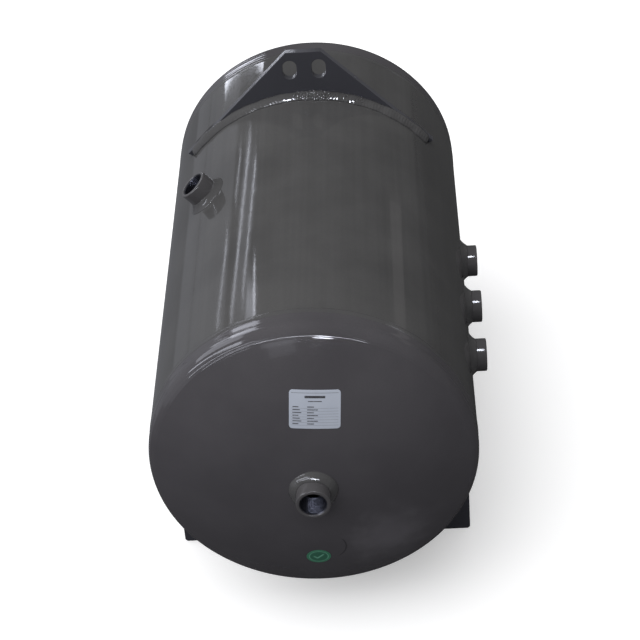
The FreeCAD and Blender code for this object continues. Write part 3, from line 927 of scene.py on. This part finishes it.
spatter = [
    {"Centre": over_weld(0.008), "Reach": 0.032, "Density": 450000.0, "Smallest": 0.0006,
     "Largest": 0.0019, "Seed": 4},
    {"Centre": over_weld(0.032), "Reach": 0.058, "Density": 110000.0, "Smallest": 0.0005,
     "Largest": 0.0014, "Seed": 9},
]
bracket_reach = tip_angle - fillet_end
plate_fillet("bracket_front_fillet", "bracket_front_weld", bracket_station, -1, 0.0,
             bracket_reach, 3.0, spatter, heavy=1.3)
plate_fillet("bracket_rear_fillet", "bracket_rear_weld", bracket_station, 1, 0.0,
             bracket_reach, 4.0)

# ---- saddles ----
# Two plates on edge that the tank stands on, hollowed to cradle its underside and welded to it
# along both faces. They are cut from the same 10 mm plate as the bracket.

saddle_station, saddle_half, saddle_corner = 0.190, 0.191, 0.003
contact = radians(60)
horn = -shell_radius * cos(contact)
horn_foot = sqrt(trim ** 2 - horn ** 2)
cradle_end = asin(horn_foot / trim)
corner_at, corner_up = saddle_half - saddle_corner, saddle_corner - axis_height
for end, side, seed in (("front", -1, 5.0), ("rear", 1, 6.0)):
    station = side * saddle_station
    loop = [(-saddle_half, horn), (-saddle_half, corner_up), (-corner_at, -axis_height),
            (corner_at, -axis_height), (saddle_half, corner_up), (saddle_half, horn)]
    loop += around_loop(trim, pi + cradle_end, pi - cradle_end, 0.02)
    upright_plate(f"{end}_saddle_plate", [loop], station, f"{end}_saddle")
    for face, which in ((-1, "front"), (1, "rear")):
        plate_fillet(f"{end}_saddle_{which}_fillet", f"{end}_saddle_{which}_weld", station, face,
                     pi, contact - fillet_end, seed + face)

# ---- rating label ----
# A white satin film label on the front head above the socket, ruled and filled with plain
# grey bars in place of any print, with rounded corners that lie flat on the crown.

label_half, label_corner, label_step = (0.030, 0.023), 0.004, 0.002
label_side, label_up, label_turn = 0.009, 0.110, radians(-4)
film_front, film_back = 0.00028, -0.0003


def crown_film(name, edge, side, rise, finish, node):
    """A thin film on the front crown inside an edge of (across, up) points about its middle."""
    mesh = bmesh.new()
    count = len(edge)

    def spot(across, above, lift):
        """A point so far across and up from the film's middle, and so far off the crown."""
        x, z = side + across, rise + above
        deep = sqrt((crown_radius + lift) ** 2 - x * x - z * z)
        return mesh.verts.new((x, -crown_centre - deep, axis_height + z))

    def ring(size, lift):
        """The edge drawn smaller or full size about the film's middle."""
        return [spot(x * size, z * size, lift) for x, z in edge]

    # The front lies off the crown and dips at its rim; the back is sunk into the plate.
    front = [ring(i / 20, film_front) for i in range(1, 20)]
    front += [ring(0.975, film_front), ring(0.992, film_front * 0.97), ring(1, film_front * 0.6)]
    back = [ring(size, film_back) for size in (1.0, 0.7, 0.35)]
    rings = front + back
    hubs = [(spot(0, 0, film_front), rings[0]), (spot(0, 0, film_back), rings[-1])]
    for j in range(count):
        k = (j + 1) % count
        for inner, outer in zip(rings, rings[1:]):
            mesh.faces.new((inner[j], outer[j], outer[k], inner[k]))
        for hub, nearest in hubs:
            mesh.faces.new((hub, nearest[j], nearest[k]))
    bmesh.ops.recalc_face_normals(mesh, faces=mesh.faces)
    for face in mesh.faces:
        face.smooth = True
    result = bpy.data.meshes.new(name)
    mesh.to_mesh(result)
    mesh.free()
    result.materials.append(finish)
    fit(stand(name, result), node)


def turned(across, above, angle):
    """A point turned anticlockwise about the middle of a film."""
    return across * cos(angle) - above * sin(angle), across * sin(angle) + above * cos(angle)


def film_place(tree, side, rise, angle=0.0):
    """Millimetres across and up from the middle of a film on the front head, along its edges."""
    place = surface_place(tree)
    x, _, z = split(tree, place)
    across = times(tree, minus(tree, x, side), 1000.0)
    above = times(tree, minus(tree, z, axis_height + rise), 1000.0)
    turn = {"Vector": join(tree, across, above), "Rotation": (0.0, 0.0, -angle)}
    across, above, _ = split(tree, put(tree, "ShaderNodeMapping", turn).outputs[0])
    return place, across, above


def printed_box(tree, across, above, left, right, low, high):
    """1 inside a rectangle given in millimetres, 0 outside, with a slightly soft edge."""
    mask = 1.0
    for value, edge, inside in (
        (across, left, 1.0), (across, right, -1.0), (above, low, 1.0), (above, high, -1.0)
    ):
        near = times(tree, minus(tree, value, edge), inside)
        mask = times(tree, mask, ramp(tree, near, -0.12, 0.12))
    return mask


def printed_form():
    """The form's bars as (left, right, low, high) in millimetres from the label's middle: a
    heading, then seven ruled rows of two short entries."""
    margin, pitch = 27.5, 3.4
    boxes = [(-margin, margin, 19.4, 19.8), (-12.0, 12.0, 13.6, 16.4), (-8.0, 8.0, 9.4, 10.4)]
    for row in range(7):
        level = pitch * (1 - row)
        low, high = level - 0.5, level + 0.6
        boxes += [
            (-margin, margin, level - 1.75, level - 1.55),
            (-26.0, -19.0 + 1.7 * (row % 3), low, high),
            (-9.0, -1.0 + 2.3 * (row * 2 % 4), low, high),
        ]
    return boxes


def label_finish():
    """Satin film, its white painted a darker bluish grey as painted shade and bluish light, printed
    with a ruled form in dark grey that has worn thin in places.
    """
    material, tree, paper = start_look("label_paper")
    place, across, above = film_place(tree, label_side, label_up, label_turn)
    ink = 0.0
    for box in printed_form():
        ink = sums(tree, "MAXIMUM", ink, printed_box(tree, across, above, *box))
    worn = ramp(tree, noise(tree, place, 900.0, 2.0), 0.25, 0.5, 0.45, 1.0)
    shade = noise(tree, place, 60.0, 3.0)
    # The film's white is painted a darker bluish grey: painted shade and painted bluish light.
    white = blend(tree, shade, (0.39, 0.425, 0.505, 1), (0.45, 0.485, 0.565, 1))
    colour = blend(tree, times(tree, ink, worn), white, (0.045, 0.045, 0.052, 1))
    fibre = times(tree, noise(tree, place, 1400.0, 2.0), 0.000006)
    end_look(tree, paper, colour, ramp(tree, shade, 0.3, 0.7, 0.42, 0.52), fibre)
    return material


half_across, half_up = label_half
corners = [(side * half_across, end * half_up, label_corner)
           for side, end in ((-1, -1), (1, -1), (1, 1), (-1, 1))]
tilted = [turned(*point, label_turn) for point in eased(corners, 8)]
edge = []
for (x0, z0), (x1, z1) in zip(tilted, tilted[1:] + tilted[:1]):
    count = max(1, ceil(hypot(x1 - x0, z1 - z0) / label_step))
    edge += [(x0 + (x1 - x0) * i / count, z0 + (z1 - z0) * i / count) for i in range(count)]
crown_film("rating_film", edge, label_side, label_up, label_finish(), "rating_label")

# ---- inspection sticker ----
# A small round green vinyl sticker under the socket, with a darker middle, a pale line round
# it and a plain tick, stuck on when the tank had passed its test.

sticker_radius, sticker_side, sticker_down = 0.015, -0.002, 0.124
tick_corners = ((-5.5, 0.2, 0.0), (-1.8, -3.8, 0.0), (6.0, 4.6, 0.0))


def sticker_finish():
    """Green vinyl with a ring and a tick, their sizes in millimetres."""
    material, tree, vinyl = start_look("sticker_vinyl")
    place, across, above = film_place(tree, sticker_side, -sticker_down)
    spot = join(tree, across, above)
    out = vectors(tree, "LENGTH", spot)
    ring = sums(tree, "ABSOLUTE", minus(tree, out, 11.6))
    ring = ramp(tree, ring, 0.35, 0.65, 1.0, 0.0)
    middle = ramp(tree, out, 10.8, 11.2, 1.0, 0.0)
    tick = 0.0
    for start, stop in zip(tick_corners, tick_corners[1:]):
        start, line = Vector(start), Vector(stop) - Vector(start)
        off = vectors(tree, "SUBTRACT", spot, start)
        run = vectors(tree, "DOT_PRODUCT", off, line.normalized())
        run = sums(tree, "MINIMUM", sums(tree, "MAXIMUM", run, 0.0), line.length)
        off = vectors(tree, "SUBTRACT", off, scaled(tree, line.normalized(), run))
        stroke = ramp(tree, vectors(tree, "LENGTH", off), 0.9, 1.25, 1.0, 0.0)
        tick = sums(tree, "MAXIMUM", tick, stroke)
    cloud = noise(tree, place, 120.0, 3.0)
    green = blend(tree, cloud, (0.035, 0.17, 0.10, 1), (0.05, 0.21, 0.125, 1))
    colour = blend(tree, times(tree, middle, 0.55), green, (0.02, 0.085, 0.06, 1))
    marks = times(tree, sums(tree, "MAXIMUM", ring, tick), 0.75)
    colour = blend(tree, marks, colour, (0.16, 0.42, 0.30, 1))
    wrinkle = times(tree, noise(tree, place, 300.0, 2.0), 0.00002)
    end_look(tree, vinyl, colour, ramp(tree, cloud, 0.3, 0.7, 0.34, 0.44), wrinkle)
    return material


edge = [(sticker_radius * cos(angle), sticker_radius * sin(angle))
        for angle in between(0, 2 * pi, 0.065)]
crown_film("inspection_film", edge, sticker_side, -sticker_down, sticker_finish(),
           "inspection_sticker")

# ---- floor, light and camera ----
# A plain pale floor under a soft sun and an even sky. Long lamps above the tank draw the bright
# streaks on its enamel, and the camera looks down along it from above the front head.

camera_target, camera_distance = Vector((0.0033, 0, 0.2136)), 2.7354
camera_turn, camera_rise, camera_roll = radians(3.01913), radians(36.17636), radians(-4.71)
camera_back = Vector((sin(camera_turn) * cos(camera_rise), -cos(camera_turn) * cos(camera_rise),
                      sin(camera_rise)))
camera_data = bpy.data.cameras.new("camera")
camera_data.lens, camera_data.sensor_width = 113.56, 36
camera_data.clip_end = 100
camera = stand("camera", camera_data)
camera.location = camera_target + camera_back * camera_distance
tilt = camera_back.to_track_quat("Z", "Y") @ Quaternion(up, camera_roll)
camera.rotation_euler = tilt.to_euler()
bpy.context.scene.camera = camera


def dim_in_gloss(tree, pale, dull, dark):
    """Pale to look at, duller as a source of bounced light, dark where the enamel mirrors it."""
    rays = put(tree, "ShaderNodeLightPath").outputs
    for ray, other in (("Is Diffuse Ray", dull), ("Is Glossy Ray", dark)):
        pale = put(tree, "ShaderNodeMixShader", {0: rays[ray], 1: pale, 2: other}).outputs[0]
    return pale


floor_half = 30
floor_corners = [(-floor_half, -floor_half, 0), (floor_half, -floor_half, 0),
                 (floor_half, floor_half, 0), (-floor_half, floor_half, 0)]
floor_mesh = bpy.data.meshes.new("floor")
floor_mesh.from_pydata(floor_corners, [], [(0, 1, 2, 3)])
floor = stand("floor", floor_mesh)
floor_look = bpy.data.materials.new("pale_floor")
floor_look.use_nodes = True
look = floor_look.node_tree
look.nodes.remove(look.nodes["Principled BSDF"])
pale, dull, dark = (
    put(look, "ShaderNodeBsdfDiffuse", {"Color": (tone, tone, 1.01 * tone, 1)}).outputs[0]
    for tone in (0.86, 0.30, 0.05)
)
glow = put(look, "ShaderNodeEmission", {"Color": (1, 1, 1, 1), "Strength": 0.35}).outputs[0]
pale = put(look, "ShaderNodeAddShader", {0: pale, 1: glow}).outputs[0]
look.links.new(dim_in_gloss(look, pale, dull, dark), look.nodes["Material Output"].inputs[0])
floor_mesh.materials.append(floor_look)

world = bpy.data.worlds.new("studio")
bpy.context.scene.world = world
world.use_nodes = True
sky = world.node_tree
sky.nodes.remove(sky.nodes["Background"])
pale, dark = (
    put(sky, "ShaderNodeBackground", {"Color": (1, 1, 1, 1), "Strength": bright}).outputs[0]
    for bright in (0.32, 0.10)
)
sky.links.new(dim_in_gloss(sky, pale, pale, dark), sky.nodes["World Output"].inputs[0])


def mirrored(point, out):
    """The way from a point on the enamel to what the camera sees mirrored in it."""
    sight = (camera.location - point).normalized()
    return 2 * out.dot(sight) * out - sight


bluish, warm = (0.86, 0.89, 1.0), (1.0, 0.96, 0.97)


def lamp(name, start, stop, width, glow, colour=bluish, aim=None, spread=pi, only=()):
    """A long flat lamp of an even glow between two points, turned to face the tank or an aim.
    A panel lights the tank as well; any other lamp only shows as a highlight in its gloss.
    A lamp that is given only some pieces to light is screened from the others."""
    along = (stop - start).normalized()
    middle = (start + stop) / 2
    light = bpy.data.lights.new(name, "AREA")
    light.shape, light.size, light.size_y = "RECTANGLE", (stop - start).length, width
    # A grid narrows the cone, and the power falls with it, so that the glow stays as given.
    gather = 1.0 if spread == pi else 1 - spread / 2 / tan(spread / 2)
    light.energy, light.color = glow * pi * light.size * width * gather, colour
    light.spread = spread
    fitting = stand(name, light)
    back = middle - (aim or Vector((0, 0, axis_height)))
    back = (back - along * back.dot(along)).normalized()
    turn = up.rotation_difference(back)
    level = turn @ rightward
    swing = level.angle(along)
    if level.cross(along).dot(back) < 0:
        swing = -swing
    fitting.rotation_euler = (Quaternion(back, swing) @ turn).to_euler()
    fitting.location = middle
    fitting.visible_camera = False
    fitting.visible_diffuse = "panel" in name
    if only:
        lit = bpy.data.collections.new(name + "_lights")
        for piece in only:
            lit.objects.link(bpy.data.objects[piece])
        fitting.light_linking.receiver_collection = lit
    return fitting


def streak(name, rear, front, width, glow, colour=bluish, spare=(0.0, 0.0)):
    """A lamp placed so that the camera sees it between two places on the shell, each given as
    (degrees from the top towards the left, distance along), and lengthened at its ends."""
    ends = []
    for angle, along in (rear, front):
        point, out = round_shell(radians(angle), along)
        ends.append(point + mirrored(point, out) * streak_distance)
    forward = (ends[1] - ends[0]).normalized()
    start, stop = ends[0] - forward * spare[0], ends[1] + forward * spare[1]
    lamp(name, start, stop, width, glow, colour)


def round_head(angle, past):
    """A point on the front head, at an angle from the top towards the left and a distance past
    the line where the crown meets the knuckle, and the way out there."""
    if past < 0:
        slope = knuckle_start + past / crown_radius
        reach, along = crown_radius * sin(slope), crown_centre + crown_radius * cos(slope)
    else:
        slope = knuckle_start + past / knuckle_radius
        reach = shell_radius - knuckle_radius + knuckle_radius * sin(slope)
        along = tangent + knuckle_radius * cos(slope)
    out = Vector((-sin(angle) * sin(slope), -cos(slope), cos(angle) * sin(slope)))
    return Vector((-sin(angle) * reach, -along, axis_height + cos(angle) * reach)), out


def glint(name, left, right, width, glow, spread=pi):
    """A lamp placed so that the camera sees it between two places on the front head's rim,
    each given as (degrees from the top towards the left, millimetres out from the line where
    the crown meets the knuckle). It lights the front head and the two sockets nearest to it."""
    ends = []
    for angle, past in (left, right):
        point, out = round_head(radians(angle), past / 1000)
        ends.append(point + mirrored(point, out) * glint_distance)
    lamp(name, *ends, width, glow, aim=point, spread=spread, only=front_pieces)


streak_distance, glint_distance = 1.9, 2.5
front_pieces = ["front_dished_head", "front_socket_turned", "front_socket_weld_bead",
                "left_socket_turned", "left_socket_weld_bead"]
long_pieces = ["shell_plate", "rear_dished_head", "front_girth_bead", "rear_girth_bead"]

# The bright streaks on the shell's upper left, the paler bands beside them, and what the shell
# mirrors low on each side.
for part, rear, front, width, glow in (
    ("low_rear", (26.0, 0.092), (26.8, -0.035), 0.018, 3.0),
    ("low_front", (29.2, -0.105), (30.8, -0.305), 0.022, 3.0),
    ("outer", (22.0, 0.125), (25.4, -0.303), 0.026, 3.6),
    ("between", (20.9, 0.070), (23.0, -0.307), 0.24, 0.35),
    ("inner", (19.1, 0.050), (21.2, -0.262), 0.020, 4.2),
    ("high", (17.3, -0.190), (16.4, -0.326), 0.022, 7.0),
    ("wedge", (18.0, -0.245), (18.2, -0.326), 0.14, 2.2),
):
    streak(f"left_lamp_{part}", rear, front, width, glow)
lamp("left_wall_panel", Vector((-2.5, 8, 0.75)), Vector((-2.5, -2, 0.75)), 1.5, 0.27)
streak("right_panel", (-34.8, 0.30), (-34.4, -0.31), 0.20, 0.17, warm, (-0.4, 0.3))
for part, near, far, glow in (("near", 0.27, 0.9, 0.11), ("far", 0.9, 2.5, 0.24)):
    middle = Vector((-(near + far) / 2, 3.9, 0.004))
    panel = lamp(f"left_floor_panel_{part}", middle - ahead * 4, middle + ahead * 4,
                 far - near, glow)
    panel.rotation_euler = (pi, 0, pi / 2)

# The bright line along the top of the front head's knuckle, the haze inside it, and the fan of
# thin lines where the roller's rings run over the upper left.
glint("rim_lamp", (17, 1.8), (-22, 1.7), 0.17, 26.0)
glint("rim_glow", (15, -2.0), (2, -2.0), 0.10, 0.9)
glint("rim_haze", (13, -11.0), (3, -9.0), 0.24, 0.45)
glint("rim_spot", (-3.5, 0.7), (-10.5, 0.7), 0.20, 150.0, radians(14))
for number, (near, far, width, glow) in enumerate((
    ((19, 1.0), (39, 1.6), 0.30, 6.5), ((17, 3.8), (45, 4.6), 0.30, 6.5),
    ((21, 8.0), (44, 9.0), 0.30, 6.5), ((18, 16.5), (37, 17.5), 1.40, 2.4),
    ((15.5, 20.6), (25, 20.6), 0.40, 4.0),
)):
    glint(f"shoulder_lamp_{number + 1}", near, far, width, glow)
streak("rear_rim_lamp", (37, 0.323), (18, 0.323), 0.08, 8.0)

# Two long soft lamps, one above each side, that the shell mirrors when it is seen from the side.
for side, across, height, glow in (("left", -1.9, 2.1, 1.3), ("right", 2.1, 1.7, 1.0)):
    middle = Vector((across, 0, height))
    lamp(f"{side}_side_lamp", middle - ahead * 3.5, middle + ahead * 2.2, 0.40, glow,
         only=long_pieces)

# Three lamps screened from all but the bracket's front weld and the row of sockets.
ends = []
for angle in (38, -26):
    out = (round_shell(radians(angle), 0)[1] - ahead).normalized()
    point = round_shell(radians(angle), bracket_station - 0.008)[0]
    ends.append(point + mirrored(point, out) * 1.1)
aim = Vector((0, bracket_station, axis_height + shell_radius))
lamp("bracket_weld_lamp", *ends, 0.30, 10.0, aim=aim, spread=radians(40),
     only=["bracket_front_fillet"])
aim = over_weld(0.028)
middle = aim + mirrored(aim, (up - ahead).normalized()) * 0.55
lamp("spatter_lamp", middle - rightward * 0.09, middle + rightward * 0.09, 0.16, 420.0,
     aim=aim, spread=radians(12), only=["bracket_front_fillet"])
aim = Vector((shell_radius + 0.015, -0.045, axis_height))
out = up * sin(radians(52)) - ahead * cos(radians(52))
middle = aim + mirrored(aim + out * socket_radius, out) * 2.0
lamp("socket_lamp", middle - rightward * 0.3, middle + rightward * 0.3, 0.42, 32.0, aim=aim,
     only=[f"right_socket_{which}_turned" for which in ("front", "middle", "rear")])

overhead = bpy.data.lights.new("overhead", "SUN")
overhead.energy, overhead.angle = 2.8, radians(80)
sun = stand("overhead", overhead)
sun.rotation_euler = Vector((-0.36, -0.30, 0.88)).to_track_quat("Z", "Y").to_euler()
sun.visible_glossy = False

bpy.context.scene.view_settings.view_transform = "Standard"
